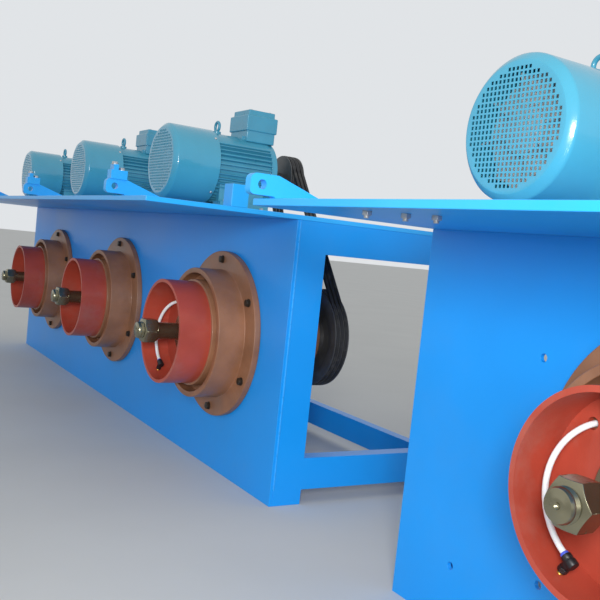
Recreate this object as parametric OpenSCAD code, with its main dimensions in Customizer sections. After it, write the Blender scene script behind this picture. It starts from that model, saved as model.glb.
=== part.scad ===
// Straight-line wire drawing machine, four blocks on two welded frames.
// Millimetres, Z up. The spindles point to -Y, the line runs along X.
// Lengths are measured from the three-block frame's right end and from the panels' faces.

/* [Frames] */
// Height of the three-block frame, up to its plate
frame_h = 980; // [800:10:1200]
// Step of the single-block frame below the three-block one
near_drop = 8; // [0:1:60]
// Depth of the frames, front to back
frame_d = 780; // [600:10:1000]
// Distance between two spindles of the three-block frame
pitch = 1210; // [900:10:1400]
// Distance of the third spindle from the frame's right end
right_margin = 490; // [420:10:700]
// Distance of the first spindle from the frame's left end
left_margin = 730; // [520:10:900]
// Thickness of the front panels and end plates
wall = 12; // [8:1:20]
// Gap between the two frames
frame_gap = 692; // [300:2:1000]
// Length of the single-block frame
single_len = 1580; // [1100:10:2000]
// Width of the end frame's upright members
stile_w = 124; // [80:1:180]
// Height of the end window's lower edge
window_lo = 164; // [100:1:250]
// Distance of the end window's upper edge below the frame's top
window_up = 108; // [80:1:200]
// Clearance of the end frame's lower rail above the floor
rail_lift = 52; // [0:1:90]
// Depth of the folded flange around the end window
flange_d = 60; // [30:1:90]
// Height of the rear rails
rear_rail_h = 100; // [60:1:160]
// Depth of the rear rails and posts
rear_t = 50; // [30:5:80]
// Depth of a rear post's foot plate
pad_d = 90; // [60:5:140]
// Reach of a foot plate to either side of its post
pad_out = 20; // [10:1:40]
// Thickness of a foot plate
pad_t = 15; // [8:1:25]
// Width of the rear posts
post_w = 90; // [60:1:140]
// Diameter of the clearance hole in the panel behind each flange
panel_hole = 300; // [280:2:400]
// Diameter of the small holes in the single block's panel
small_hole = 19; // [8:1:30]

/* [Top plates] */
// Thickness of the top plates
plate_t = 16; // [12:1:30]
// Overhang of the plates in front of the panels
plate_over = 534; // [200:2:700]
// Width of the belt slot in the plates
slot_w = 130; // [100:1:200]

/* [Spindles] */
// Height of the spindle axis above the floor, three-block frame
axis_z = 528; // [400:2:600]
// Diameter of the bolted flange
flange_dia = 634; // [500:2:700]
// Thickness of the bolted flange
flange_t = 25; // [15:1:40]
// Diameter of the boss in front of the flange
boss_dia = 490; // [440:5:560]
// Distance of the boss's face from the panel
boss_out = 130; // [80:1:160]
// Depth and width of the ring-shaped recess in the boss's face
recess = 50; // [20:1:70]
// Diameter of the cooling cup
cup_dia = 386; // [300:1:420]
// Distance of the cup's rim from the panel
cup_out = 255; // [200:1:320]
// Wall of the cooling cup
cup_wall = 12; // [6:1:20]
// Thickness of the cooling cup's disc
disc_t = 15; // [8:1:25]
// Diameter of the spindle's front end
shaft_dia = 62; // [50:1:80]
// Diameter of the spindle in its bearings
journal_dia = 90; // [80:1:110]
// Radial running clearance in the bearings
run_gap = 0.05; // [0.02:0.01:0.1]
// Length of each bearing
bearing_len = 60; // [40:1:90]
// Diameter of the collar in front of the cup's disc
collar_dia = 150; // [110:2:180]
// Width across flats of the spindle nut
nut_af = 84; // [70:1:120]
// Thickness of the spindle nut
nut_t = 50; // [30:1:70]
// Distance of the nut's inner face from the panel
nut_out = 275; // [230:1:360]

/* [Belt drives] */
// Outer diameter of the spindle pulley
big_dia = 400; // [300:5:460]
// Outer diameter of the motor pulley
small_dia = 200; // [140:5:260]
// Number of belts of each drive
belt_n = 3; // [2:1:5]
// Width of one belt
belt_w = 13; // [9:1:16]
// Height of one belt
belt_h = 13; // [8:1:16]
// Distance between two belts
belt_pitch = 19; // [16:1:24]
// Distance of the belts' middle plane behind the panel's face
belt_y = 430; // [400:5:560]

/* [Motors] */
// Height of the motor's feet above the plate, on its slide rails
rail_h = 30; // [20:1:60]
// Height of the motor shaft above its feet
motor_h = 160; // [156:1:220]
// Distance of the motor to the left of its spindle
motor_off = 375; // [330:5:560]
// Diameter of the fan cowl
cowl_dia = 310; // [290:1:350]
// Length of the fan cowl
cowl_len = 200; // [150:1:280]
// Thickness of the cowl's sheet
cowl_wall = 3; // [2:0.5:5]
// Distance of the cowl's face in front of the panel
cowl_front = 170; // [0:1:300]
// Length of the finned body
fin_len = 250; // [200:1:320]
// Number of cooling fins
fin_n = 44; // [24:2:60]
// Thickness of a cooling fin
fin_t = 3.5; // [2:0.5:5]
// Length and width of the terminal box
box_size = 146; // [110:2:200]
// Height of the terminal box without its neck and lid
box_h = 66; // [50:1:110]
// Diameter of the bearing cap at the drive end
cap_dia = 140; // [100:2:180]
// Width of a motor foot
foot_w = 70; // [50:2:90]
// Thickness of a motor foot
foot_t = 18; // [12:1:25]
// Distance from the fins' front end to the feet
foot_front = 15; // [0:1:40]
// Distance from the feet to the fins' rear end
foot_rear = 10; // [0:1:40]
// Width of a slide rail
rail_w = 50; // [40:1:70]
// Reach of a slide rail beyond the middle of the feet
rail_over = 75; // [60:1:110]
// Setback of a slide rail from the end of the feet
rail_set = 5; // [0:1:20]
// Width of the clamping slot in a slide rail
rail_slot = 10; // [8:1:14]
// Distance of the eyebolt behind the fins' front end
eye_y = 40; // [30:1:120]
// Height of the eyebolt's neck
eye_h = 18; // [12:1:30]
// Diameter of the eyebolt's ring, to the middle of its rod
eye_ring = 40; // [30:1:60]
// Thickness of the eyebolt's ring
eye_rod = 12; // [8:1:16]

/* [Guide arms] */
// Length of a guide arm bracket
arm_len = 198; // [150:2:400]
// Height of a bracket's head above the plate
arm_h = 56; // [50:1:120]
// Distance of a bracket's nose before the plate's edge
arm_front = 24; // [10:1:60]
// Clearance under a bracket's head
arm_lift = 8; // [0:1:15]
// Distance of a bracket to the right of its spindle
arm_off = 145; // [0:5:300]
// Thickness of a guide arm bracket
arm_t = 25; // [15:1:40]
// Diameter of the pivot hole
pivot_dia = 22; // [16:1:30]
// Height of the clamp block on a bracket's head
clamp_h = 30; // [20:1:50]
// Length of a clamp block
clamp_len = 56; // [40:1:80]
// Distance of a clamp block behind the bracket's front
clamp_y = 12; // [0:1:30]
// Reach of a clamp block to either side of its bracket
clamp_out = 8; // [4:1:15]
// Width of the clamp block's raised jaw
jaw_w = 16; // [10:1:30]
// Height of the raised jaw
jaw_h = 18; // [10:1:30]

/* [Coolant hoses] */
// Outer diameter of a hose
hose_dia = 16; // [8:1:20]
// Distance of the hose from the spindle axis
hose_ring = 148; // [120:1:155]
// Angle of the hole in the cup's disc, from the right, seen from the front
hose_from = 135; // [90:1:180]
// Angle of the elbow, from the right, seen from the front
hose_to = 238; // [200:1:270]
// Rise of the hose from the disc to the elbow
hose_rise = 74; // [40:1:110]
// Diameter of the elbow's port in the cup's wall
port_dia = 13; // [8:0.5:20]

/* [Hidden] */
$fn = 96;
blue = [0.12, 0.50, 0.86];
edge_blue = [0.30, 0.66, 0.96];
brown = [0.48, 0.33, 0.25];
red = [0.62, 0.24, 0.19];
steel = [0.46, 0.44, 0.38];
teal = [0.25, 0.55, 0.62];
black = [0.07, 0.07, 0.08];
white = [0.90, 0.90, 0.88];
long_len = left_margin + 2 * pitch + right_margin;
near_h = frame_h - near_drop;
near_x = frame_gap;
end_x = near_x + single_len;
plate_z = frame_h + plate_t;
near_z = near_h + plate_t;
axis_x = [-right_margin - 2 * pitch, -right_margin - pitch, -right_margin, near_x + single_len / 2];
axis_h = [axis_z, axis_z, axis_z, axis_z - near_drop];
seat_z = [plate_z, plate_z, plate_z, near_z];
shaft_h = rail_h + motor_h;
end_out = nut_out + nut_t + 20;
arm_x = [axis_x[0] + arm_off, axis_x[1] + arm_off, axis_x[2] + arm_off];
arm_y = -plate_over - arm_front;
x_mid = (end_x - long_len) / 2;
y_mid = (frame_d + arm_y) / 2;
pulley_w = belt_n * belt_pitch + 8;
housing_end = -belt_y + pulley_w / 2 + 30;
bore_r = journal_dia / 2 + run_gap;
cup_r = cup_dia / 2;
cup_z = boss_out + 5;
body_r = cowl_dia / 2 - 30;
fin_r = cowl_dia / 2 - 11;
fin_y0 = cowl_len - cowl_front;
fin_y1 = fin_y0 + fin_len;
foot_x = body_r - 9;
box_y = fin_y1 - 40;
hose_out = boss_out + 8;
elbow_side = hose_dia / 2 + 5;

// Moves the line's own coordinates so that the origin is under the middle.
module placed() {
    translate([-x_mid, -y_mid, 0]) children();
}

// Axis pointing to the front: local z is the distance in front of the panel.
module on_axis(i) {
    translate([axis_x[i], 0, axis_h[i]]) rotate([90, 0, 0]) children();
}

module on_motor(i) {
    translate([axis_x[i] - motor_off, 0, seat_z[i] + shaft_h]) rotate([90, 0, 0]) children();
}

module box3(x0, x1, y0, y1, z0, z1) {
    translate([x0, y0, z0]) cube([x1 - x0, y1 - y0, z1 - z0]);
}

// Front panel with a clearance hole behind the flange of each listed drive.
module panel(x0, x1, h, list) {
    difference() {
        box3(x0, x1, 0, wall, 0, h);
        for (i = list) on_axis(i) translate([0, 0, -wall - 1]) cylinder(d = panel_hole, h = wall + 2);
    }
}

// End frame: plate with a window, a folded flange round the window, feet at both uprights.
module end_frame(x0, side, h) {
    x1 = x0 + side * wall;
    x2 = x0 + side * flange_d;
    lo = min(x0, x1);
    hi = max(x0, x1);
    flo = min(x0, x2);
    fhi = max(x0, x2);
    window_hi = h - window_up;
    difference() {
        box3(lo, hi, wall, frame_d, 0, h);
        box3(lo - 1, hi + 1, stile_w, frame_d - stile_w, window_lo, window_hi);
        box3(lo - 1, hi + 1, stile_w, frame_d - stile_w, -1, rail_lift);
    }
    difference() {
        box3(flo, fhi, stile_w - 8, frame_d - stile_w + 8, window_lo - 8, window_hi + 8);
        box3(flo - 1, fhi + 1, stile_w, frame_d - stile_w, window_lo, window_hi);
    }
    box3(flo, fhi, stile_w, frame_d - stile_w, rail_lift, rail_lift + 8);
}

// Rear of a frame: rails above and below, a post with a foot plate at each mark.
module rear(x0, x1, h, posts) {
    box3(x0, x1, frame_d - rear_t, frame_d, rail_lift, rail_lift + rear_rail_h);
    box3(x0, x1, frame_d - rear_t, frame_d, h - rear_rail_h, h);
    for (x = posts) {
        box3(x - post_w / 2, x + post_w / 2, frame_d - rear_t, frame_d, 0, h);
        box3(x - post_w / 2 - pad_out, x + post_w / 2 + pad_out, frame_d - pad_d, frame_d, 0, pad_t);
    }
}

// Belt slots of a plate, one at each drive, wide enough for both runs of the belts.
module slots(z0, z1, list) {
    for (i = list) {
        dz = seat_z[i] + shaft_h - axis_h[i];
        part = (seat_z[i] + shaft_h - (z0 + z1) / 2) / dz;
        mid = axis_x[i] - motor_off + motor_off * part;
        half = (small_dia + (big_dia - small_dia) * part) / 2 * norm([motor_off, dz]) / dz + 35;
        box3(mid - half, mid + half, belt_y - slot_w / 2, belt_y + slot_w / 2, z0 - 1, z1 + 1);
    }
}

module long_front_panel() {
    color(blue) placed() panel(-long_len, 0, frame_h, [0, 1, 2]);
}

module long_left_end() {
    color(blue) placed() end_frame(-long_len, 1, frame_h);
}

module long_right_end() {
    color(blue) placed() end_frame(0, -1, frame_h);
}

module long_rear_frame() {
    color(blue) placed() rear(-long_len + wall, -wall, frame_h,
        [for (i = [0, 1]) axis_x[i] + pitch * 0.3]);
}

module long_top_plate() {
    color(edge_blue) placed() difference() {
        box3(-long_len, 0, -plate_over, frame_d, frame_h, plate_z);
        slots(frame_h, plate_z, [0, 1, 2]);
    }
}

module near_front_panel() {
    color(blue) placed() difference() {
        panel(near_x, end_x, near_h, [3]);
        for (p = [[419, 703], [480, 215], [207, 150]])
            translate([near_x + p[0], -1, p[1]]) rotate([-90, 0, 0]) cylinder(d = small_hole, h = wall + 2);
    }
}

module near_frame() {
    color(blue) placed() {
        end_frame(near_x, 1, near_h);
        end_frame(end_x, -1, near_h);
        rear(near_x + wall, end_x - wall, near_h, []);
    }
}

module near_top_plate() {
    color(edge_blue) placed() difference() {
        box3(near_x, end_x, -plate_over, frame_d, near_h, near_z);
        slots(near_h, near_z, [3]);
    }
}

// Cast bearing housing: flange, boss with a ring-shaped recess, tube that carries both bearings.
module hub_housing(i) {
    er = cup_r + 8;
    br = boss_dia / 2;
    tube_r = panel_hole / 2 - 15;
    core_r = journal_dia / 2 + 30;
    front = boss_out - 20;
    color(brown) placed() on_axis(i) rotate_extrude() polygon([[tube_r, housing_end], [tube_r, 0],
        [flange_dia / 2, 0], [flange_dia / 2, flange_t], [br, flange_t], [br, boss_out],
        [br - 20, boss_out], [br - 20, boss_out - recess], [er, boss_out - recess], [er, cup_z],
        [core_r, cup_z], [core_r, front], [bore_r, front], [bore_r, front - bearing_len],
        [core_r, front - bearing_len], [core_r, housing_end + bearing_len],
        [bore_r, housing_end + bearing_len], [bore_r, housing_end]]);
}

module cooling_cup(i) {
    color(red) placed() on_axis(i) difference() {
        rotate_extrude() polygon([[60, cup_z], [cup_r, cup_z], [cup_r, cup_out],
            [cup_r - cup_wall, cup_out], [cup_r - cup_wall, cup_z + disc_t], [60, cup_z + disc_t]]);
        rotate([0, 0, hose_from]) translate([hose_ring, 0, cup_z - 1])
            cylinder(d = hose_dia + 8, h = disc_t + 2);
        rotate([0, 0, hose_to]) translate([cup_r - cup_wall - 5, elbow_side, hose_out + hose_rise])
            rotate([0, 90, 0]) cylinder(d = port_dia, h = cup_wall + 10);
    }
}

// Turned spindle with its shoulder collars, nut and grooved pulley.
module spindle(i) {
    jr = journal_dia / 2;
    sr = shaft_dia / 2;
    pr = big_dia / 2;
    pz = -belt_y;
    hw = pulley_w / 2;
    cz = cup_z + disc_t + 3;
    inner = boss_out - 20 - bearing_len - 5;
    color(steel) placed() on_axis(i) {
        difference() {
            rotate_extrude() polygon([[0, pz - hw - 20], [jr - 5, pz - hw - 20], [jr, pz - hw - 15],
                [jr, housing_end + bearing_len + 5], [jr + 7, housing_end + bearing_len + 5],
                [jr + 7, inner], [jr, inner], [jr, cz], [collar_dia / 2, cz],
                [collar_dia / 2, cz + 12], [jr, cz + 12], [jr, cz + 20], [sr, cz + 30],
                [sr, end_out - 8], [sr - 8, end_out], [0, end_out]]);
            translate([0, 0, end_out - 12]) cylinder(d = 10, h = 13);
        }
        translate([0, 0, nut_out]) cylinder(d = nut_af / cos(30), h = nut_t, $fn = 6);
        rotate_extrude() polygon(concat([[jr - 1, pz - 45], [jr + 35, pz - 45], [jr + 35, pz - 10],
            [pr - 45, pz - 10], [pr - 45, pz - hw], [pr, pz - hw]], grooves(pr, pz),
            [[pr, pz + hw], [pr - 45, pz + hw], [pr - 45, pz + 10], [jr + 35, pz + 10],
            [jr + 35, pz + hw + 8], [jr - 1, pz + hw + 8]]));
    }
}

// Corner points of the belt grooves of a pulley with outer radius r.
function grooves(r, z) = [for (k = [0 : belt_n - 1])
    let (c = z + (k - (belt_n - 1) / 2) * belt_pitch)
    for (p = [[r, c - belt_w / 2 - 1.5], [r - belt_h + 0.2, c - belt_w / 2 - 0.8],
        [r - belt_h + 0.2, c + belt_w / 2 + 0.8], [r, c + belt_w / 2 + 1.5]]) p];

// Outline of a belt round two pulleys, r0 at the origin and r1 at distance d along x.
function loop2d(r0, r1, d) = let (a = 90 + asin((r1 - r0) / d), n = 32)
    concat([for (k = [0 : n]) let (t = -a + 2 * a * k / n) [d + r1 * cos(t), r1 * sin(t)]],
        [for (k = [0 : n]) let (t = a + (360 - 2 * a) * k / n) [r0 * cos(t), r0 * sin(t)]]);

module belt_drive(i) {
    dx = motor_off;
    dz = seat_z[i] + shaft_h - axis_h[i];
    dist = sqrt(dx * dx + dz * dz);
    tilt = atan2(-dz, dx);
    pr = small_dia / 2;
    br = big_dia / 2;
    pz = -belt_y;
    hw = pulley_w / 2;
    color(black) placed() on_motor(i) {
        rotate([0, 0, tilt]) for (k = [0 : belt_n - 1]) {
            c = pz + (k - (belt_n - 1) / 2) * belt_pitch;
            translate([0, 0, c - belt_w / 2]) linear_extrude(belt_w) difference() {
                polygon(loop2d(pr + 1, br + 1, dist));
                polygon(loop2d(pr - belt_h + 1, br - belt_h + 1, dist));
            }
        }
        rotate_extrude() polygon(concat([[0, pz - hw], [pr, pz - hw]], grooves(pr, pz),
            [[pr, pz + hw], [0, pz + hw]]));
        translate([0, 0, pz - 50]) cylinder(d = 48, h = belt_y + 50 - fin_y1 - 42);
    }
}

// Finned motor body with its end shields, feet, slide rails, eyebolt and the pad of its terminal box.
module motor(i) {
    x = axis_x[i] - motor_off;
    color(teal) placed() {
        on_motor(i) {
            translate([0, 0, -fin_y1]) linear_extrude(fin_len) union() {
                circle(r = body_r);
                for (k = [0 : fin_n - 1]) rotate((k + 0.5) * 360 / fin_n)
                    translate([body_r - 3, -fin_t / 2]) square([fin_r - body_r + 3, fin_t]);
            }
            translate([0, 0, -fin_y1 - 24]) cylinder(r = fin_r - 4, h = 25);
            translate([0, 0, -fin_y1 - 42]) cylinder(d = cap_dia, h = 20);
            translate([0, 0, -fin_y0]) cylinder(r = cowl_dia / 2 - cowl_wall - 0.3, h = 26);
            translate([0, 0, -fin_y0 + 20]) cylinder(r = 60, h = 40);
        }
        for (side = [-1, 1]) translate([x + side * foot_x, 0, seat_z[i] + rail_h]) {
            box3(-foot_w / 2, foot_w / 2, fin_y0 + foot_front, fin_y1 - foot_rear, 0, foot_t);
            translate([-side * 18, 0, 0])
                box3(-14, 14, fin_y0 + foot_front + 10, fin_y1 - foot_rear - 10, foot_t - 1, motor_h - 50);
        }
        for (y = [fin_y0 + foot_front + rail_set, fin_y1 - foot_rear - rail_set - rail_w]) difference() {
            hx = foot_x + rail_over;
            top = seat_z[i] + rail_h;
            y_slot = y + (rail_w - rail_slot) / 2;
            box3(x - hx, x + hx, y, y + rail_w, seat_z[i], top);
            box3(x - hx + 15, x + hx - 15, y_slot, y_slot + rail_slot, top - 12, top + 1);
        }
        translate([x, fin_y0 + eye_y, seat_z[i] + shaft_h + fin_r - 8]) {
            cylinder(d = 34, h = eye_h);
            translate([0, 0, eye_h + eye_ring / 2]) rotate([90, 0, 0]) rotate_extrude()
                translate([eye_ring / 2, 0]) circle(d = eye_rod, $fn = 24);
        }
        translate([x, box_y, seat_z[i] + shaft_h])
            box3(-box_size * 0.42, box_size * 0.42, -box_size / 2 - 8, fin_y1 - box_y,
                body_r - 25, fin_r + 4);
    }
}

module fan_cowl(i) {
    r = cowl_dia / 2;
    f = cowl_front;
    color(teal) placed() on_motor(i) rotate_extrude() polygon([[0, f], [r - 22, f],
        [r - 8, f - 5], [r, f - 20], [r, f - cowl_len], [r - cowl_wall, f - cowl_len],
        [r - cowl_wall, f - 20], [r - 10, f - 8], [r - 23, f - 4], [0, f - 4]]);
}

module terminal_box(i) {
    z = seat_z[i] + shaft_h + fin_r + 4;
    h = box_size / 2;
    color(teal) placed() translate([axis_x[i] - motor_off, box_y, z]) {
        box3(-h * 0.8, h * 0.8, -h * 0.85, h * 0.55, 0, 25);
        box3(-h - 12, h + 12, -h, h, 24, 24 + box_h);
        box3(-h, h, -h + 10, h - 10, 24 + box_h, 48 + box_h);
    }
}

// Points of an arc round c, from angle a0 to a1.
function arc(c, r, a0, a1, n) = [for (k = [0 : n]) let (t = a0 + (a1 - a0) * k / n) c + r * [cos(t), sin(t)]];

// Side view of a bracket: rounded nose, raised head with the pivot hole, long tapered foot.
module bracket2d() {
    difference() {
        polygon(concat([[12, arm_lift], [arm_len * 0.32, arm_lift], [arm_len * 0.36, 0], [arm_len, 0],
            [arm_len, 12], [arm_len * 0.36, arm_h]], arc([16, arm_h - 16], 16, 90, 180, 6),
            arc([12, arm_lift + 12], 12, 180, 270, 6)));
        translate([30, (arm_h + arm_lift) / 2]) circle(d = pivot_dia);
    }
}

// Bracket that runs from front to rear on a plate with its top at z, its side facing along the line.
module bracket(x, z) {
    translate([x, arm_y, z]) rotate([90, 0, 90]) linear_extrude(arm_t) bracket2d();
}

// Bracket of the long frame, with the clamp block bolted on its head.
module far_bracket(i) {
    x = arm_x[i];
    color(edge_blue) placed() {
        bracket(x, plate_z);
        translate([x, arm_y, plate_z + arm_h - 1]) {
            box3(-clamp_out, arm_t + clamp_out, clamp_y, clamp_y + clamp_len, 0, clamp_h);
            translate([0, clamp_y + 8, clamp_h])
                box3(-clamp_out, arm_t + clamp_out, 0, jaw_w, -1, jaw_h);
        }
    }
}

module near_bracket() {
    color(edge_blue) placed() bracket(near_x + 2, near_z);
}

// Upright plate with a rib at the right end of the long plate.
module guide_lug() {
    y = -plate_over * 0.47;
    color(edge_blue) placed() translate([-arm_t, y, plate_z]) {
        box3(-35, arm_t, 0, 14, 0, arm_h + 16);
        box3(arm_t - 12, arm_t, 13, 60, 0, arm_h + 16);
    }
}

// Points of the hose in the cup's own axes: from the disc, round the spindle, to the elbow.
function hose_point(t) = let (a = hose_from + (hose_to - hose_from) * pow(t, 1.8))
    [hose_ring * cos(a), hose_ring * sin(a), hose_out + hose_rise * (1 - pow(1 - t, 2.2))];

module coolant_hose(i) {
    n = 24;
    sides = 10;
    r = hose_dia / 2;
    rings = [for (k = [0 : n]) let (t = k / n, p = hose_point(t),
        q = hose_point(min(1, t + 0.01)) - hose_point(max(0, t - 0.01)), d = q / norm(q),
        u0 = cross(d, [0, 0, 1]), u = u0 / norm(u0), v = cross(d, u))
        for (m = [0 : sides - 1]) p + r * cos(360 * m / sides) * u + r * sin(360 * m / sides) * v];
    sidef = [for (k = [0 : n - 1]) for (m = [0 : sides - 1])
        let (a = k * sides + m, b = k * sides + (m + 1) % sides) [a, b, b + sides, a + sides]];
    color(white) placed() on_axis(i) polyhedron(rings, concat(sidef,
        [[for (m = [sides - 1 : -1 : 0]) m], [for (m = [0 : sides - 1]) n * sides + m]]));
}

module hose_elbow(i) {
    wall_in = cup_r - cup_wall;
    w = hose_dia + 6;
    color(black) placed() on_axis(i) translate([0, 0, hose_out + hose_rise]) rotate([0, 0, hose_to]) {
        translate([hose_ring, 0.5, 0]) rotate([-90, 0, 0]) cylinder(d = w, h = elbow_side + 13);
        translate([hose_ring - 6, elbow_side, 0]) rotate([0, 90, 0])
            cylinder(d = w - 4, h = wall_in - hose_ring + 2);
        translate([wall_in - 8, elbow_side, 0]) rotate([0, 90, 0]) cylinder(d = port_dia - 0.4, h = 16);
    }
}

long_front_panel();
long_left_end();
long_right_end();
long_rear_frame();
long_top_plate();
near_front_panel();
near_frame();
near_top_plate();
hub_housing(0);  // hub_housing_1
hub_housing(1);  // hub_housing_2
hub_housing(2);  // hub_housing_3
hub_housing(3);  // hub_housing_4
cooling_cup(0);  // cooling_cup_1
cooling_cup(1);  // cooling_cup_2
cooling_cup(2);  // cooling_cup_3
cooling_cup(3);  // cooling_cup_4
spindle(0);  // spindle_1
spindle(1);  // spindle_2
spindle(2);  // spindle_3
spindle(3);  // spindle_4
motor(0);  // motor_1
motor(1);  // motor_2
motor(2);  // motor_3
motor(3);  // motor_4
fan_cowl(0);  // fan_cowl_1
fan_cowl(1);  // fan_cowl_2
fan_cowl(2);  // fan_cowl_3
fan_cowl(3);  // fan_cowl_4
terminal_box(0);  // terminal_box_1
terminal_box(1);  // terminal_box_2
terminal_box(2);  // terminal_box_3
terminal_box(3);  // terminal_box_4
belt_drive(0);  // belt_drive_1
belt_drive(1);  // belt_drive_2
belt_drive(2);  // belt_drive_3
belt_drive(3);  // belt_drive_4
far_bracket(0);  // guide_bracket_1
far_bracket(1);  // guide_bracket_2
far_bracket(2);  // guide_bracket_3
near_bracket();  // guide_bracket_4
guide_lug();
coolant_hose(2);  // coolant_hose_3
coolant_hose(3);  // coolant_hose_4
hose_elbow(2);  // hose_elbow_3
hose_elbow(3);  // hose_elbow_4
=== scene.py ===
"""Straight-line wire drawing machine: four spindle blocks on two welded frames, driven by belts from above.

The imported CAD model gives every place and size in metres, +Z up, with the spindles pointing to -Y.
"""

import math

import bmesh
import bpy
import numpy as np
from mathutils import Matrix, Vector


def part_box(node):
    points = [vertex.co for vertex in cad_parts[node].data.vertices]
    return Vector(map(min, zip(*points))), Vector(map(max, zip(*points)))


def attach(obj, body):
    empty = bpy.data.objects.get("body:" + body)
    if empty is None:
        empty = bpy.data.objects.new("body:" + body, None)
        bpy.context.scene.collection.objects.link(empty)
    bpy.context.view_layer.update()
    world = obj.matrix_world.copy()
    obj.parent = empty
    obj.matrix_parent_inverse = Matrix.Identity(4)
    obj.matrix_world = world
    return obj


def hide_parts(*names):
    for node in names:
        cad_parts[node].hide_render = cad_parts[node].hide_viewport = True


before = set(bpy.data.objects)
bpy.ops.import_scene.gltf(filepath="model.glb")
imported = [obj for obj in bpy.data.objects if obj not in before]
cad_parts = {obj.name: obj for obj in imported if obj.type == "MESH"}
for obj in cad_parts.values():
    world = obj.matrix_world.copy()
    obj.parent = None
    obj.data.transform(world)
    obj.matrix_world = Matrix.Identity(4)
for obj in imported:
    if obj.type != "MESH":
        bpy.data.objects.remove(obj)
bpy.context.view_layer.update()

# Camera
# A 49 mm lens at eye height beside the single block, looking back along the line of spindles. It is
# held by hand, with its right side six degrees up.
lens = 49.03
right = (0.51225, 0.8526, 0.1033)
up = (-0.108, -0.05537, 0.99261)
back = (0.85202, -0.51962, 0.06372)
stand = (3.0337, -1.5041, 0.888)


def added(name, data):
    """New object of that name and data, linked to the scene."""
    obj = bpy.data.objects.new(name, data)
    bpy.context.scene.collection.objects.link(obj)
    return obj


def placed(x_axis, y_axis, z_axis, origin):
    """Matrix whose columns are the three axes of an object and the point where it stands."""
    return Matrix([(x_axis[i], y_axis[i], z_axis[i], origin[i]) for i in range(3)] + [(0, 0, 0, 1)])


camera = added("camera", bpy.data.cameras.new("camera"))
camera.data.lens = lens
camera.data.clip_end = 200
camera.matrix_world = placed(right, up, back, stand)
bpy.context.scene.camera = camera

# Coolant hoses
# White nylon hose, 12 mm, pushed through the disc of a cooling cup, bent a quarter turn round the
# spindle and plugged into a black elbow that is screwed through the cup's wall.
blocks = range(1, 5)
hose_blocks = (3, 4)
hose_dia = 0.012
hose_ring = 0.148  # from the spindle's axis to the hose
hose_from = 135  # angles round the spindle, in degrees
hose_to = 238
hose_out = 0.138  # from the panel to the start of the hose
hose_rise = 0.074
panel_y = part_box("long_front_panel")[0].y


def axis_of(node):
    """Axis of a round piece that runs from front to rear: the x and z of its box's middle."""
    low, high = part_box(node)
    return (low.x + high.x) / 2, (low.z + high.z) / 2


def polar(axis, angle, radius, y):
    """Points round an axis (x, z) that runs from front to rear: x + radius cos angle, y and
    z + radius sin angle."""
    x, z = axis
    return np.stack(np.broadcast_arrays(x + radius * np.cos(angle), y, z + radius * np.sin(angle)), -1)


def linear(red, green, blue):
    """Linear colour of an 8-bit screen colour: each channel c / 255 to the power 2.2."""
    return tuple((c / 255) ** 2.2 for c in (red, green, blue)) + (1.0,)


def shader_node(tree, kind, **inputs):
    """New node of that kind with its inputs set, where From_Min stands for the input From Min."""
    made = tree.nodes.new("ShaderNode" + kind)
    for key, value in inputs.items():
        made.inputs[key.replace("_", " ")].default_value = value
    return made


def finish_of(name, colour, rough, metal=0.0, mottle=0.08, scale=6.0, grain=0.0, grain_scale=400.0,
              coat=0.0, soil=0.0):
    """Surface finish from nodes. The colour is the given one, darkened and lightened by the share
    mottle along a noise of that scale, and greyed by dust of strength soil where a coarser noise is
    high. The roughness wanders by a tenth along the same noise, and grain is the height of a fine bump."""
    material = bpy.data.materials.new(name)
    material.use_nodes = True
    tree = material.node_tree
    join = tree.links.new
    shader = tree.nodes["Principled BSDF"]
    shader.inputs["Metallic"].default_value = metal
    shader.inputs["Coat Weight"].default_value = coat
    where = shader_node(tree, "TexCoord").outputs["Object"]
    wide = shader_node(tree, "TexNoise", Scale=scale, Detail=6)
    join(where, wide.inputs["Vector"])
    tint = shader_node(tree, "ValToRGB")
    for end, place, share in zip(tint.color_ramp.elements, (0.3, 0.7), (1 - mottle, 1 + mottle)):
        end.position = place
        end.color = tuple(min(1, c * share) for c in colour[:3]) + (1,)
    join(wide.outputs["Fac"], tint.inputs["Fac"])
    last = tint.outputs["Color"]
    if soil:
        cloud = shader_node(tree, "TexNoise", Scale=scale * 0.35, Detail=8, Roughness=0.7)
        join(where, cloud.inputs["Vector"])
        amount = shader_node(tree, "MapRange", From_Min=0.5, From_Max=0.8, To_Max=soil)
        join(cloud.outputs["Fac"], amount.inputs["Value"])
        dust = shader_node(tree, "Mix")
        dust.data_type = "RGBA"
        join(amount.outputs["Result"], dust.inputs["Factor"])
        # Inputs 6 and 7 and output 2 are the colours A, B and the result.
        join(last, dust.inputs[6])
        dust.inputs[7].default_value = linear(150, 145, 135)
        last = dust.outputs[2]
    join(last, shader.inputs["Base Color"])
    sheen = shader_node(tree, "MapRange", To_Min=max(0.02, rough - 0.1), To_Max=rough + 0.1)
    join(wide.outputs["Fac"], sheen.inputs["Value"])
    join(sheen.outputs["Result"], shader.inputs["Roughness"])
    if grain:
        fine = shader_node(tree, "TexNoise", Scale=grain_scale, Detail=3)
        join(where, fine.inputs["Vector"])
        bump = shader_node(tree, "Bump", Strength=0.6, Distance=grain)
        join(fine.outputs["Fac"], bump.inputs["Height"])
        join(bump.outputs["Normal"], shader.inputs["Normal"])
    return material


def cells(rows, columns, wrap=True):
    """Quads of a grid of points: cell (i, j) joins points (i, j), (i, j+1), (i+1, j+1), (i+1, j).
    With wrap the last column joins the first again."""
    i, j = np.meshgrid(np.arange(rows - 1), np.arange(columns if wrap else columns - 1), indexing="ij")
    a, b = i * columns + j, i * columns + (j + 1) % columns
    return np.stack([a, b, b + columns, a + columns], -1).reshape(-1, 4)


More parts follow.
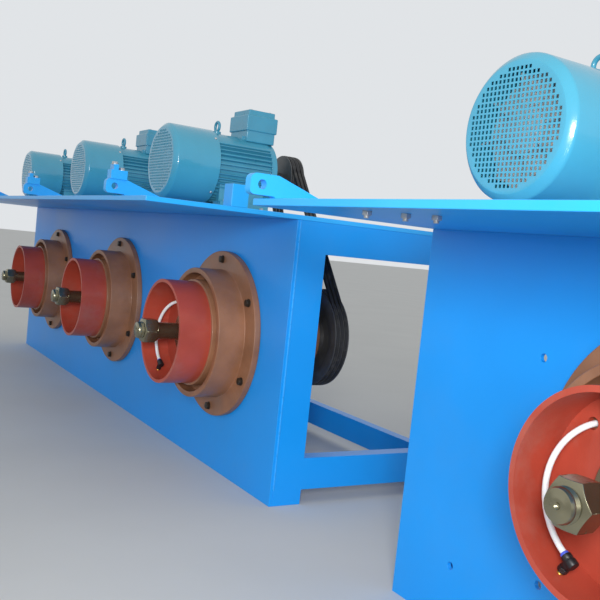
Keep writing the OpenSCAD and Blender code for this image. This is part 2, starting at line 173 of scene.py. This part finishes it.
def workpiece(mesh):
    """Editable copy of a mesh with its doubles merged."""
    work = bmesh.new()
    work.from_mesh(mesh)
    bmesh.ops.remove_doubles(work, verts=work.verts, dist=2e-6)
    return work


def welded(name, shapes):
    """Mesh of a list of (points, quads) joined into one, and its editable copy."""
    points = np.concatenate([p.reshape(-1, 3) for p, q in shapes])
    starts = np.cumsum([0] + [p.size // 3 for p, q in shapes])
    quads = np.concatenate([q + start for (p, q), start in zip(shapes, starts)])
    mesh = bpy.data.meshes.new(name)
    mesh.from_pydata(points.tolist(), [], quads.tolist())
    return mesh, workpiece(mesh)


def finished(mesh, work, material, body, edge, crease=35):
    """Object of a worked mesh in that material, riding on the named body. It is shaded smooth but for
    the edges sharper than the crease, in degrees, and a bevel of width edge rounds those."""
    work.to_mesh(mesh)
    work.free()
    mesh.shade_smooth()
    mesh.set_sharp_from_angle(angle=math.radians(crease))
    mesh.materials.append(material)
    obj = added(mesh.name, mesh)
    if edge:
        bevel = obj.modifiers.new("edge", "BEVEL")
        bevel.width = edge
        bevel.segments = 2
        bevel.limit_method = "ANGLE"
        bevel.angle_limit = math.radians(crease)
    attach(obj, body)
    return obj


def piece(name, shapes, material, body="frame", edge=0.0):
    """One closed object of a list of (points, quads): its open ends are filled and its normals point
    outwards."""
    mesh, work = welded(name, shapes)
    bmesh.ops.holes_fill(work, edges=[e for e in work.edges if e.is_boundary], sides=0)
    bmesh.ops.recalc_face_normals(work, faces=work.faces)
    return finished(mesh, work, material, body, edge)


def carried(path, radius, sides=16):
    """A round profile carried along a path: at each point a circle of that radius in the plane across
    the path, given as u cos t + v sin t, where u and v are square to the path's direction."""
    ahead = np.gradient(path, axis=0)
    ahead /= np.linalg.norm(ahead, axis=1)[:, None]
    other = np.eye(3)[np.argmin(np.abs(ahead).max(0))]
    u = np.cross(ahead, other)
    u /= np.linalg.norm(u, axis=1)[:, None]
    v = np.cross(ahead, u)
    t = np.linspace(0, 2 * np.pi, sides, endpoint=False)[:, None]
    r = np.broadcast_to(radius, len(path))[:, None, None]
    ring = path[:, None] + r * (u[:, None] * np.cos(t) + v[:, None] * np.sin(t))
    return ring, cells(len(path), sides)


def hose_route(axis, n=25):
    """Points of a hose: the angle round the spindle grows with t to the power 1.8, and the distance
    from the panel with 1 - (1 - t) to the power 2.2, fast at first, so the hose leaves the disc square."""
    t = np.linspace(0, 1, n)
    angle = np.radians(hose_from + (hose_to - hose_from) * t ** 1.8)
    return polar(axis, angle, hose_ring, panel_y - hose_out - hose_rise * (1 - (1 - t) ** 2.2))


spindle_axes = {k: axis_of(f"hub_housing_{k}") for k in blocks}
nylon = finish_of("white_nylon", linear(232, 232, 236), 0.35, mottle=0.03, scale=30)
nylon.node_tree.nodes["Principled BSDF"].inputs["Subsurface Weight"].default_value = 0.15
for k in hose_blocks:
    route = hose_route(spindle_axes[k])
    hose = piece(f"hose_{k}", [carried(route, hose_dia / 2)], nylon)
    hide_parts(f"coolant_hose_{k}")

# Hose elbows
# Push-in elbow of black nylon at the end of each hose: ribbed sleeve with a blue release collar,
# hexagon, and a brass thread that is screwed through the wall of the cup.
elbow_sides = 32
elbow_turn = 0.013  # from the sleeve's mouth to the axis of the part that is screwed in
sleeve = [(0, 0), (.0082, 0), (.0102, .0012), (.0102, .0085), (.0096, .0095), (.0096, .0125),
          (.0108, .0135), (.0108, .0245), (.0098, .026), (0, .026)]
branch = [(0, -.006), (.0088, -.006), (.0092, -.005), (.0092, .014), (.0082, .0155), (.0082, .0175),
          (0, .0175)]
collar = [(0, -.0045), (.0078, -.0045), (.0084, -.0035), (.0084, -.001), (.0080, .0005), (0, .0005)]
elbow_flats = .0175  # hexagon of the elbow, across its flats
elbow_nut = .0105
nut_start = .0172
thread_start = .0262
thread = [(0, 0)] + [(.0063 - .0005 * (i % 2), .0006 * i) for i in range(24)] + [(0, .0144)]


def spokes(ahead, sides):
    """The direction ahead at unit length, and unit vectors square to it at equal angles round it."""
    ahead = np.asarray(ahead, float) / np.linalg.norm(ahead)
    u = np.cross(ahead, (0, 0, 1) if abs(ahead[2]) < 0.9 else (1, 0, 0))
    u /= np.linalg.norm(u)
    t = np.linspace(0, 2 * np.pi, sides, endpoint=False)[:, None]
    return ahead, u * np.cos(t) + np.cross(ahead, u) * np.sin(t)


def turned(profile, base, ahead, sides=48):
    """Surface of revolution: each (radius, distance) of the profile is a circle of that radius round
    the line from base in the direction ahead, at that distance along it."""
    ahead, around = spokes(ahead, sides)
    radius, along = np.array(profile, float).T[:, :, None, None]
    return base + along * ahead + radius * around, cells(len(profile), sides)


def hexagon(base, ahead, flats, height, sides=24):
    """Hexagon of that width across flats. At the angle t from a flat's middle its side is
    (flats / 2) / cos t away, and its top edge drops by tan 30 times what lies outside the chamfer's
    circle, which has 0.95 of the width."""
    ahead, around = spokes(ahead, sides)
    t = np.radians((np.arange(sides) * 360 / sides) % 60 - 30)[:, None]
    far = flats / 2 / np.cos(t)
    near = 0.95 * flats / 2
    drop = np.tan(np.radians(30)) * (far - near)
    top = base + height * ahead
    rows = [base + 0 * around, base + far * around, top + far * around - drop * ahead,
            top + near * around, top + 0 * around]
    return np.array(rows), cells(len(rows), sides)


nylon_black = finish_of("black_nylon", linear(30, 30, 34), 0.42, mottle=0.1, scale=80, grain=0.0002)
nylon_blue = finish_of("blue_nylon", linear(70, 90, 205), 0.4, mottle=0.05, scale=80)
brass = finish_of("brass", linear(176, 132, 60), 0.35, metal=0.8, mottle=0.1, scale=120)
hose_end = math.radians(hose_to)
along = np.array([-math.sin(hose_end), 0, math.cos(hose_end)])
outward = np.array([math.cos(hose_end), 0, math.sin(hose_end)])
for k in hose_blocks:
    mouth = polar(spindle_axes[k], hose_end, hose_ring, panel_y - hose_out - hose_rise)
    turn = mouth + elbow_turn * along
    elbow = piece(f"elbow_{k}", [
        turned(sleeve, mouth, along, elbow_sides), turned(branch, turn, outward, elbow_sides),
        hexagon(turn + nut_start * outward, outward, elbow_flats, elbow_nut)],
        nylon_black, edge=0.0003)
    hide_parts(f"hose_elbow_{k}")
    piece(f"elbow_collar_{k}", [turned(collar, mouth, along, elbow_sides)], nylon_blue)
    piece(f"elbow_thread_{k}", [turned(thread, turn + thread_start * outward, outward, 24)], brass)

# Frames
# Two box frames of blue-painted steel plate: 12 mm front panels, end plates with a window whose
# edges are folded inwards, and rear rails. Sheared and flame-cut edges, dressed and welded.


def rounded(name, node, material, edge):
    """Copy of a CAD node with its doubles merged, its flat faces whole again and its sharp edges rounded."""
    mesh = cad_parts[node].data.copy()
    mesh.name = name
    mesh.materials.clear()
    work = workpiece(mesh)
    bmesh.ops.dissolve_limit(work, angle_limit=math.radians(0.4), verts=work.verts, edges=work.edges)
    obj = finished(mesh, work, material, "frame", edge, crease=25)
    obj.modifiers["edge"].harden_normals = True
    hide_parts(node)


panel_paint = finish_of("panel_paint", linear(8, 148, 238), 0.38, mottle=0.05, scale=2.2, grain=0.0006,
                        grain_scale=45, coat=0.08, soil=0.1)
for node in ("long_front_panel", "long_left_end", "long_right_end", "long_rear_frame", "near_front_panel",
             "near_frame"):
    rounded("plate_" + node, node, panel_paint, 0.0015)

# Weld beads
# Fillet welds of the frames, in a lighter and glossier blue than the panels, a painted highlight along the
# bright corner lines: up the corners between the front panels and the end plates, outside and inside.
wall = 0.012  # thickness of the panels and the end plates
weld_foot = 0.055  # height at which the welds start
weld_head = 0.004  # from the outer weld's end up to the panel's edge, and the same for the inner one
inner_head = 0.010
outer_weld = 0.003
inner_weld = 0.004


def bead(start, end, radius, step=0.0045):
    """A weld bead: a tube along a line. Its radius grows by a fifth of |sin| of half a turn per step, and
    wanders by a tenth."""
    start, end = np.array(start), np.array(end)
    n = max(8, int(np.linalg.norm(end - start) / step * 4))
    t = np.linspace(0, 1, n)
    wave = radius * (1 + 0.2 * np.abs(np.sin(np.pi * t * n / 4)) + 0.1 * np.sin(37 * t))
    return carried(start + (end - start) * t[:, None], wave, 8)


# Lighter blue than the panel paint: a painted highlight along the welds.
bead_paint_painted_highlight = finish_of("bead_paint_painted_highlight", linear(32, 158, 243), 0.3, mottle=0.1, scale=60, coat=0.2)
seams = []
for panel in ("long_front_panel", "near_front_panel"):
    low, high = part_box(panel)
    for x, inward in ((low.x, 1), (high.x, -1)):
        y = low.y + wall
        seams.append(bead((x, y, weld_foot), (x, y, high.z - weld_head), outer_weld))
        x, y = x + inward * (wall + inner_weld / 2), y + inner_weld / 2
        seams.append(bead((x, y, weld_foot), (x, y, high.z - inner_head), inner_weld))
piece("frame_welds", seams, bead_paint_painted_highlight)

# Top plates
# Long cover plates of 16 mm steel that overhang the panels by half a metre and carry the motors,
# painted like the frames. Three bolt ends show under the near plate's left corner.
tip_places = ((0.361, 0.062), (0.430, 0.103), (0.492, 0.126))  # from the plate's left front corner
tip_flats = 0.018
tip_nut = 0.009
bolt_tip = [(0, 0), (.0055, 0), (.0055, .013), (.0048, .0145), (0, .0145)]
plate_paint = finish_of("plate_paint", linear(44, 168, 244), 0.36, mottle=0.05, scale=2.5, grain=0.0006,
                        grain_scale=45, coat=0.12, soil=0.1)
zinc = finish_of("zinc", linear(186, 188, 190), 0.38, metal=0.85, mottle=0.12, scale=150, grain=0.0002)
upward = (0, 0, 1)
downward = (0, 0, -1)
for node in ("long_top_plate", "near_top_plate"):
    rounded("cover_" + node, node, plate_paint, 0.002)
low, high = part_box("near_top_plate")
tips = []
for dx, dy in tip_places:
    at = (low.x + dx, low.y + dy, low.z)
    tips += [hexagon(at, downward, tip_flats, tip_nut), turned(bolt_tip, at, downward, 16)]
piece("plate_bolt_tips", tips, zinc, edge=0.0003)

# Hub housings
# Bearing housings turned from iron castings: bolted flange, boss with a ring-shaped recess and the
# tube that carries the bearings. Brushed with brown primer, thin on the edges.
toward = (0, -1, 0)
rearward = (0, 1, 0)
flange_r = 0.317
flange_t = 0.025
boss_r = 0.245
boss_out = 0.130  # distances in front of the panel, negative behind it
recess_r = 0.201
recess_depth = 0.050
rim = 0.020
cup_seat = boss_out + 0.005
core_r = 0.075
bore_r = 0.04505
bore_front = boss_out - 0.020
bearing = 0.060
tube_r = 0.135
tube_back = -0.3675
flange_bolt_ring = 0.285
flange_bolt = 0.016


def softened(profile, radius, steps=3):
    """The profile with each corner between its ends replaced by a curve from a point the radius before
    it to one the radius after it: (1-t)^2 a + 2t(1-t) corner + t^2 b. The radius is at most 0.4 of a side."""
    points = np.array(profile, float)
    corner = points[1:-1]
    before, after = points[:-2] - corner, points[2:] - corner
    side_before = np.linalg.norm(before, axis=1)[:, None]
    side_after = np.linalg.norm(after, axis=1)[:, None]
    r = np.minimum(radius, 0.4 * np.minimum(side_before, side_after))
    a = (corner + before * r / side_before)[:, None]
    b = (corner + after * r / side_after)[:, None]
    t = np.linspace(0, 1, steps + 1)[:, None]
    curves = (1 - t) ** 2 * a + 2 * t * (1 - t) * corner[:, None] + t * t * b
    return [profile[0]] + curves.reshape(-1, 2).tolist() + [profile[-1]]


def bolt(base, ahead, size):
    """A hexagon bolt of that thread size on a washer: head 1.5 sizes across flats and 0.64 high, washer
    1.9 sizes wide and 0.16 thick."""
    thick = 0.16 * size
    washer = [(0, -.0005), (.95 * size, -.0005), (.95 * size, thick), (0, thick)]
    head = hexagon(base + thick * np.array(ahead), ahead, 1.5 * size, 0.64 * size)
    return [head, turned(washer, base, ahead, 24)]


primer = finish_of("brown_primer_paint", linear(142, 98, 72), 0.45, mottle=0.2, scale=9, grain=0.001,
                   grain_scale=90, coat=0.12, soil=0.22)
bolt_black = finish_of("bolt_steel", linear(62, 56, 50), 0.42, metal=0.6, mottle=0.2, scale=120, grain=0.0002)
# The outline starts and ends on the tube's straight side, so that every corner is softened.
tube_side = [(tube_r, -0.1)]
hub_profile = softened(tube_side + [
    (tube_r, tube_back), (bore_r, tube_back), (bore_r, tube_back + bearing), (core_r, tube_back + bearing),
    (core_r, bore_front - bearing), (bore_r, bore_front - bearing), (bore_r, bore_front),
    (core_r, bore_front), (core_r, cup_seat), (recess_r, cup_seat), (recess_r, boss_out - recess_depth),
    (boss_r - rim, boss_out - recess_depth), (boss_r - rim, boss_out), (boss_r, boss_out), (boss_r, flange_t),
    (flange_r, flange_t), (flange_r, 0), (tube_r, 0)] + tube_side, 0.003)
centres = {k: polar(spindle_axes[k], 0, 0, panel_y) for k in blocks}
for k in blocks:
    hub = piece(f"housing_{k}", [turned(hub_profile, centres[k], toward, 128)], primer)
    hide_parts(f"hub_housing_{k}")
    heads = []
    for j in range(6):
        at = polar(spindle_axes[k], math.radians(90 + 60 * j), flange_bolt_ring, panel_y - flange_t)
        heads += bolt(at, toward, flange_bolt)
    piece(f"flange_bolts_{k}", heads, bolt_black, edge=0.0003)

# Cooling cups
# Open cups of rolled and welded sheet, 12 mm, with a disc for a bottom, in red oxide primer clouded
# by dried water. Three brass screws hold the disc.
disc_t = 0.015
screw_ring = 0.12
disc_screw = [(0, -.001), (.0045, -.001), (.0045, .002), (.0036, .0034), (.0018, .004), (0, .0041)]
red_paint = finish_of("red_oxide_paint", linear(172, 72, 56), 0.42, mottle=0.14, scale=7, grain=0.0008,
                      grain_scale=60, coat=0.15, soil=0.4)
for k in blocks:
    rounded(f"cup_{k}", f"cooling_cup_{k}", red_paint, 0.0025)
    screws = []
    for j in range(3):
        at = polar(spindle_axes[k], math.radians(60 + 120 * j), screw_ring, panel_y - cup_seat - disc_t)
        screws.append(turned(disc_screw, at, toward, 20))
    piece(f"disc_screws_{k}", screws, brass)

# Spindles
# Turned steel spindles under a film of oil: collar before the disc, bearing journals, a threaded end
# with a large hexagon nut and a centre hole, and the grooved pulley keyed on at the rear.
journal_r = 0.045
shoulder_r = 0.052
end_play = 0.005  # from a shoulder to the bearing's land
collar_r = 0.075
collar_back = cup_seat + disc_t + 0.003
collar_front = collar_back + 0.012
stud_r = 0.031
stud_end = 0.345
stud_thread = 0.268
nut_flats = 0.084
nut_back = 0.275
nut_middle = 0.300
belt_y = 0.430  # from the panel's face back to the middle of the belts
belt_pitch = 0.019
pulley_half = 0.0325
big_r = 0.200
small_r = 0.100
hub_r = journal_r + 0.035
rim_in = big_r - 0.045
web_half = 0.010
oiled = finish_of("oiled_steel", linear(142, 137, 114), 0.24, metal=0.9, mottle=0.08, scale=14)
pulley_iron = finish_of("pulley_iron", linear(92, 92, 92), 0.4, metal=0.6, mottle=0.15, scale=30,
                        grain=0.0004, grain_scale=200)


def grooved(r):
    """Rim of a pulley of radius r from its rear edge to its front edge: three grooves 19 mm apart, 16 mm
    wide at the rim and 14.6 mm at the bottom, 12.8 mm deep, on a rim 65 mm wide."""
    rows = [(r, -belt_y - pulley_half)]
    for j in (-1, 0, 1):
        middle = -belt_y + belt_pitch * j
        rows += [(r, middle - .008), (r - .0128, middle - .0073), (r - .0128, middle + .0073),
                 (r, middle + .008)]
    return rows + [(r, -belt_y + pulley_half)]


shaft_back = -belt_y - pulley_half - 0.020
shaft = softened([
    (0, shaft_back), (journal_r - .005, shaft_back), (journal_r, shaft_back + .005),
    (journal_r, tube_back + bearing + end_play), (shoulder_r, tube_back + bearing + end_play),
    (shoulder_r, bore_front - bearing - end_play), (journal_r, bore_front - bearing - end_play),
    (journal_r, collar_back), (collar_r, collar_back), (collar_r, collar_front), (journal_r, collar_front),
    (journal_r, collar_front + .008), (stud_r, collar_front + .018), (stud_r, stud_thread)], 0.0015)
shaft += [(stud_r - .0012 * (i % 2), stud_thread + .0017 * i) for i in range(41)]
shaft += [(stud_r, stud_end - .007), (stud_r - .0025, stud_end - .0005), (stud_r - .0035, stud_end),
          (.016, stud_end - .0003), (.0155, stud_end), (.0065, stud_end), (.0045, stud_end - .0025),
          (.002, stud_end - .005), (0, stud_end - .0055)]
bore = journal_r - 0.001
hub_back = -belt_y - .045
hub_front = -belt_y + pulley_half + .008
hub_side = [(bore, -belt_y - .020)]
wheel = softened(
    hub_side + [(bore, hub_back), (hub_r, hub_back), (hub_r, -belt_y - web_half),
                (rim_in, -belt_y - web_half), (rim_in, -belt_y - pulley_half)] + grooved(big_r)
    + [(rim_in, -belt_y + pulley_half), (rim_in, -belt_y + web_half), (hub_r, -belt_y + web_half),
       (hub_r, hub_front), (bore, hub_front)] + hub_side, 0.0012, 2)
nut_washer = [(0, nut_back - .005), (.040, nut_back - .005), (.040, nut_back + .0005), (0, nut_back + .0005)]
for k in blocks:
    body = f"spindle_{k}"
    rod = piece(f"shaft_{k}", [turned(shaft, centres[k], toward, 96)], oiled, body)
    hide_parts(body)
    piece(f"pulley_{k}", [turned(wheel, centres[k], toward, 96)], pulley_iron, body)
    middle = polar(spindle_axes[k], 0, 0, panel_y - nut_middle)
    halves = [hexagon(middle, way, nut_flats, nut_middle - nut_back) for way in (toward, rearward)]
    piece(f"nut_{k}", halves + [turned(nut_washer, centres[k], toward, 48)], oiled, body,
          edge=0.0006)

# Belts
# Three V belts of black rubber side by side on each drive, from the motor's grooved pulley through
# the slot in the plate down to the spindle's pulley. The motor's pulley is dark cast iron.
belt_h = 0.013
belt_inset = 0.012  # from a pulley's rim in to the belt's inner face
fin_len = 0.250
shield_t = 0.042  # from the fins' rear end to the bearing cap's face
shaft_end = -0.480
motor_shaft_r = 0.024
# Section of a belt: (height over the inner face, place across), with its corners cut.
belt_section = [(belt_h - .0005, -.0062), (belt_h, -.0056), (belt_h, .0056), (belt_h - .0005, .0062),
                (.0004, .0050), (0, .0046), (0, -.0046), (.0004, -.0050)]
rubber = finish_of("belt_rubber", linear(34, 34, 36), 0.62, mottle=0.15, scale=60, grain=0.0003,
                   grain_scale=500, soil=0.25)


def loop(r0, r1, gap, n=40):
    """Outline of a belt round pulleys of radius r0 at the origin and r1 at the distance gap along x:
    arcs that meet the outer tangents at the angle 90 + asin((r1 - r0) / gap)."""
    a = np.pi / 2 + np.arcsin((r1 - r0) / gap)
    t = np.linspace(-a, a, n)
    u = np.linspace(a, 2 * np.pi - a, n)
    run = np.linspace(0, 1, 14)[1:-1, None]
    big = np.stack([gap + r1 * np.cos(t), r1 * np.sin(t)], 1)
    small = np.stack([r0 * np.cos(u), r0 * np.sin(u)], 1)
    return np.concatenate([big, big[-1] + (small[0] - big[-1]) * run, small,
                           small[-1] + (big[0] - small[-1]) * run])


def turned_round(axis, flat, angle, y):
    """Flat points (a, b) turned by the angle round an axis (x, z) that runs from front to rear:
    x + a cos - b sin, y and z + a sin + b cos."""
    x, z = axis
    a, b = flat[..., 0], flat[..., 1]
    c, s = math.cos(angle), math.sin(angle)
    return np.stack(np.broadcast_arrays(x + a * c - b * s, y, z + a * s + b * c), -1)


motor_axes = {k: axis_of(f"fan_cowl_{k}") for k in blocks}
small_profile = softened([(0, -belt_y - pulley_half)] + grooved(small_r) + [(0, -belt_y + pulley_half)],
                         0.0012, 2)
for k in blocks:
    (mx, mz), (cx, cz) = motor_axes[k], spindle_axes[k]
    gap = math.hypot(cx - mx, cz - mz)
    tilt = math.atan2(cz - mz, cx - mx)
    strands = []
    for j in (-1, 0, 1):
        rows = [turned_round((mx, mz), loop(small_r - belt_inset + height, big_r - belt_inset + height, gap),
                             tilt, panel_y + belt_y + belt_pitch * j + side)
                for height, side in belt_section + belt_section[:1]]
        strands.append((np.array(rows), cells(len(rows), len(rows[0]))))
    belts = piece(f"belts_{k}", strands, rubber)
    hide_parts(f"belt_drive_{k}")
    cap = panel_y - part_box(f"fan_cowl_{k}")[1].y - fin_len - shield_t
    stub = [(0, shaft_end), (motor_shaft_r - .002, shaft_end), (motor_shaft_r, shaft_end + .002),
            (motor_shaft_r, cap), (0, cap)]
    at = (mx, panel_y, mz)
    piece(f"motor_pulley_{k}", [turned(small_profile, at, toward, 72), turned(stub, at, toward, 48)],
          pulley_iron)

# Motors
# Totally enclosed motors with cast cooling fins and feet on slide rails, sprayed blue-green.
# Hexagon bolts hold the feet, the rails and the end shields.
foot_x = 0.116  # from the motor's axis to the middle of a foot
foot_t = 0.018
foot_bolt = 0.012
rail_h = 0.030
rail_w = 0.050
rail_bolt = 0.010
saddle_r = (0.120, 0.1446)  # the saddle's inner and outer radius, and the angles that it covers
saddle_from = 42
saddle_to = 138
shield_ring = 0.122
motor_paint = finish_of("motor_paint", linear(70, 154, 182), 0.3, mottle=0.06, scale=12, grain=0.0004,
                        grain_scale=160, coat=0.3, soil=0.08)


def sector(axis, y0, y1, inner, outer, start, end, n=33):
    """Part of a ring round a motor's axis: at each angle from start to end degrees a rectangle between
    the radii inner and outer, from y0 to y1."""
    angle = np.radians(np.linspace(start, end, n))
    corners = ((outer, y0), (outer, y1), (inner, y1), (inner, y0), (outer, y0))
    rows = [polar(axis, angle, r, y) for r, y in corners]
    return np.array(rows), cells(len(rows), n, wrap=False)


for k in blocks:
    rounded(f"motor_body_{k}", f"motor_{k}", motor_paint, 0.0007)
    mx, mz = motor_axes[k]
    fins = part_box(f"fan_cowl_{k}")[1].y
    fins_end = fins + fin_len
    rail_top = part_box("near_top_plate" if k == 4 else "long_top_plate")[1].z + rail_h
    saddle = sector((mx, mz), fins + .0005, fins_end, *saddle_r, saddle_from, saddle_to)
    piece(f"saddle_{k}", [saddle], motor_paint, edge=0.002)
    fixings = []
    for side in (-1, 1):
        for rail in (fins + .020, fins_end - .065):
            on_foot = (mx + side * (foot_x + .020), rail + rail_w / 2, rail_top + foot_t)
            on_rail = (mx + side * (foot_x + .060), rail + .010, rail_top)
            fixings += bolt(on_foot, upward, foot_bolt) + bolt(on_rail, upward, rail_bolt)
    for j in range(4):
        at = polar((mx, mz), math.radians(45 + 90 * j), shield_ring, fins_end + .024)
        fixings += bolt(at, rearward, rail_bolt)
    piece(f"motor_bolts_{k}", fixings, zinc, edge=0.0003)

# Fan cowls
# Pressed sheet-steel cowl over the cooling fan, with a sloping shoulder and a round field of small
# square holes punched through the end for the air. The white plastic fan shows through the holes.
cowl_r = 0.155
sheet = 0.002
face_r = cowl_r - 0.0185  # radius of the flat end inside the shoulder
field_r = 0.134
hole_pitch = 0.0115
hole = 0.0076
fan_depth = 0.026  # from the cowl's end to the fan
fan_hub = [(0, 0), (.046, 0), (.052, -.004), (.054, -.040), (.126, -.042), (.126, -.045), (0, -.045)]
blade_count = 8
blade_t = 0.003
cowl_screw = [(0, -.001), (.006, -.001), (.006, .002), (.0045, .0036), (0, .004)]


def cuboid(low, high):
    """A box between two opposite corners: four corners at the bottom and four at the top."""
    (x0, y0, z0), (x1, y1, z1) = low, high
    points = np.array([[x, y, z] for z in (z0, z1) for x, y in ((x0, y0), (x1, y0), (x1, y1), (x0, y1))])
    quads = [(0, 3, 2, 1), (4, 5, 6, 7), (0, 1, 5, 4), (1, 2, 6, 5), (2, 3, 7, 6), (3, 0, 4, 7)]
    return points, np.array(quads)


def fan_blade(axis, front, angle):
    """A blade from the fan's hub outwards: a flat box along x, turned by the angle round the axis."""
    points, quads = cuboid((.040, front + .030, -blade_t / 2), (.122, front + .070, blade_t / 2))
    return turned_round(axis, points[:, ::2], angle, points[:, 1]), quads


def punched_field(axis, front):
    """A square grid of cells, those within the field's radius. Each is a square ring carried round its
    hole: the cell's edge and the hole's edge in front, and the same two behind, one sheet further in."""
    count = int(field_r / hole_pitch) + 1
    middles = (np.arange(-count, count) + 0.5) * hole_pitch
    x, z = np.meshgrid(middles, middles)
    inside = np.hypot(x, z) + 0.7 * hole_pitch <= field_r
    half_side = np.array([hole_pitch, hole, hole, hole_pitch])[:, None] / 2
    depth = np.array([0, 0, sheet, sheet])[:, None]
    ring_x, ring_z = np.array([(-1, -1), (1, -1), (1, 1), (-1, 1)]).T
    cell_x = axis[0] + x[inside][:, None, None] + half_side * ring_x
    cell_z = axis[1] + z[inside][:, None, None] + half_side * ring_z
    points = np.stack(np.broadcast_arrays(cell_x, front + depth, cell_z), -1)
    starts = points[0].size // 3 * np.arange(len(points))
    return points, (cells(4, 4) + starts[:, None, None]).reshape(-1, 4)


def perforated_cowl(name, axis, front, length):
    """Mesh of a cowl: the wall with its shoulder turned round the axis, inner skin one sheet behind the
    outer, the punched field, and the flat end between them filled with triangles on both sides."""
    skin = [(face_r, 0), (cowl_r - .0165, .0005), (cowl_r - .0035, .0125), (cowl_r - .001, .0155),
            (cowl_r, .0195), (cowl_r, length), (cowl_r - sheet, length), (cowl_r - sheet, .0195),
            (cowl_r - sheet - .001, .0165), (cowl_r - .0055, .0135), (cowl_r - .0175, .0025), (face_r, sheet)]
    shell = turned(skin, (axis[0], front, axis[1]), rearward, 128)
    mesh, work = welded(name, [punched_field(axis, front), shell])
    for y in (front, front + sheet):
        rims = [e for e in work.edges if e.is_boundary and all(abs(v.co.y - y) < 1e-4 for v in e.verts)]
        bmesh.ops.triangle_fill(work, use_beauty=True, use_dissolve=False, edges=rims)
    bmesh.ops.recalc_face_normals(work, faces=work.faces)
    return mesh, work


cowl_paint = finish_of("cowl_paint", linear(72, 160, 188), 0.22, mottle=0.04, scale=9, grain=0.0003,
                       grain_scale=120, coat=0.5, soil=0.05)
fan_white = finish_of("fan_plastic", linear(214, 208, 204), 0.5, mottle=0.05, scale=30)
for k in blocks:
    axis = motor_axes[k]
    low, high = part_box(f"fan_cowl_{k}")
    fan = [turned(fan_hub, (axis[0], low.y + fan_depth, axis[1]), toward, 64)]
    fan += [fan_blade(axis, low.y, math.tau / blade_count * j + 0.2) for j in range(blade_count)]
    piece(f"fan_{k}", fan, fan_white)
    mesh, work = perforated_cowl(f"cowl_{k}", axis, low.y, high.y - low.y)
    cowl = finished(mesh, work, cowl_paint, "frame", 0, crease=30)
    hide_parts(f"fan_cowl_{k}")
    screws = []
    for j in range(4):
        angle = math.radians(45 + 90 * j)
        outward = (math.cos(angle), 0, math.sin(angle))
        screws.append(turned(cowl_screw, polar(axis, angle, cowl_r, high.y - .012), outward, 20))
    piece(f"cowl_screws_{k}", screws, zinc)

# Terminal boxes
# Cast terminal boxes on a foot that sits on the motor, painted with it. The stepped lid is held by
# four cross-head screws.
lid_margin = 0.028
lid_screw = [(0, -.001), (.006, -.001), (.006, .0015), (.0045, .003), (.0012, .0034), (.001, .0016),
             (0, .0016)]
for k in blocks:
    rounded(f"box_{k}", f"terminal_box_{k}", motor_paint, 0.004)
    low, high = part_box(f"terminal_box_{k}")
    foot = cuboid((low.x + .006, low.y + .006, low.z - .022), (high.x - .006, high.y - .006, high.z - .060))
    piece(f"box_foot_{k}", [foot], motor_paint, edge=0.004)
    screws = [turned(lid_screw, (x, y, high.z), upward, 20)
              for x in (low.x + lid_margin, high.x - lid_margin)
              for y in (low.y + lid_margin, high.y - lid_margin)]
    piece(f"box_screws_{k}", screws, zinc)

# Guide brackets
# Flame-cut brackets of 25 mm steel with a drilled pivot hole, welded to the plates. Those of the
# long frame carry a clamp block with two hexagon bolts.
jaw_h = 0.018
clamp_screw = 0.012
for k in blocks:
    rounded(f"bracket_{k}", f"guide_bracket_{k}", plate_paint, 0.0016)
    if k < 4:
        low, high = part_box(f"guide_bracket_{k}")
        middle = (low.x + high.x) / 2
        jaw_bolt = bolt((middle, low.y + .028, high.z), upward, clamp_screw)
        clamp_bolt = bolt((middle, low.y + .053, high.z - jaw_h), upward, clamp_screw)
        piece(f"clamp_bolt_{k}", jaw_bolt + clamp_bolt, zinc, edge=0.0003)
rounded("lug", "guide_lug", plate_paint, 0.0016)

# Floor and light
# Pale grey floor and surroundings. A small lamp just over the camera lights what is near, like the
# camera's own flash, a weak far one lights what faces the camera, and a white world fills the rest.
floor_half = 60
lit = 0.56  # strength of the world as light
shown = 0.8  # strength of the world as seen by the camera, in gloss and through glass
lamp_back = 0.35
lamp_up = 0.3
aim = (0.6, 0.0, 0.75)
floor_mesh = bpy.data.meshes.new("floor")
floor_corners = [(x * floor_half, y * floor_half, 0) for x, y in ((-1, -1), (1, -1), (1, 1), (-1, 1))]
floor_mesh.from_pydata(floor_corners, [], [(0, 1, 2, 3)])
floor_mesh.materials.append(finish_of("floor_grey", linear(208, 208, 205), 0.8, mottle=0.03, scale=1.5))
floor = added("floor", floor_mesh)
world = bpy.data.worlds.new("surroundings")
bpy.context.scene.world = world
world.use_nodes = True
tree = world.node_tree
light_path = shader_node(tree, "LightPath")
rays = light_path.outputs["Is Camera Ray"]
for kind in ("Is Glossy Ray", "Is Transmission Ray"):
    either = shader_node(tree, "Math")
    either.operation = "MAXIMUM"
    tree.links.new(rays, either.inputs[0])
    tree.links.new(light_path.outputs[kind], either.inputs[1])
    rays = either.outputs[0]
strength = shader_node(tree, "MapRange", To_Min=lit, To_Max=shown)
tree.links.new(rays, strength.inputs["Value"])
tree.links.new(strength.outputs["Result"], tree.nodes["Background"].inputs["Strength"])
tree.nodes["Background"].inputs["Color"].default_value = (0.94, 0.97, 1.0, 1)
near_lamp = bpy.data.lights.new("near_lamp", "AREA")
near_lamp.energy = 22
near_lamp.size = 0.5
near_lamp.spread = math.radians(110)
far_lamp = bpy.data.lights.new("far_lamp", "SUN")
far_lamp.energy = 0.45
far_lamp.angle = 0.2
spot = np.array(stand) + lamp_back * np.array(back) + lamp_up * np.array(up)
look = aim - spot
look /= np.linalg.norm(look)
side = np.cross(look, upward)
side /= np.linalg.norm(side)
for lamp in (near_lamp, far_lamp):
    lamp.color = (1.0, 0.99, 0.97)
    added(lamp.name, lamp).matrix_world = placed(side, np.cross(side, look), -look, spot)
bpy.context.scene.view_settings.view_transform = "Standard"
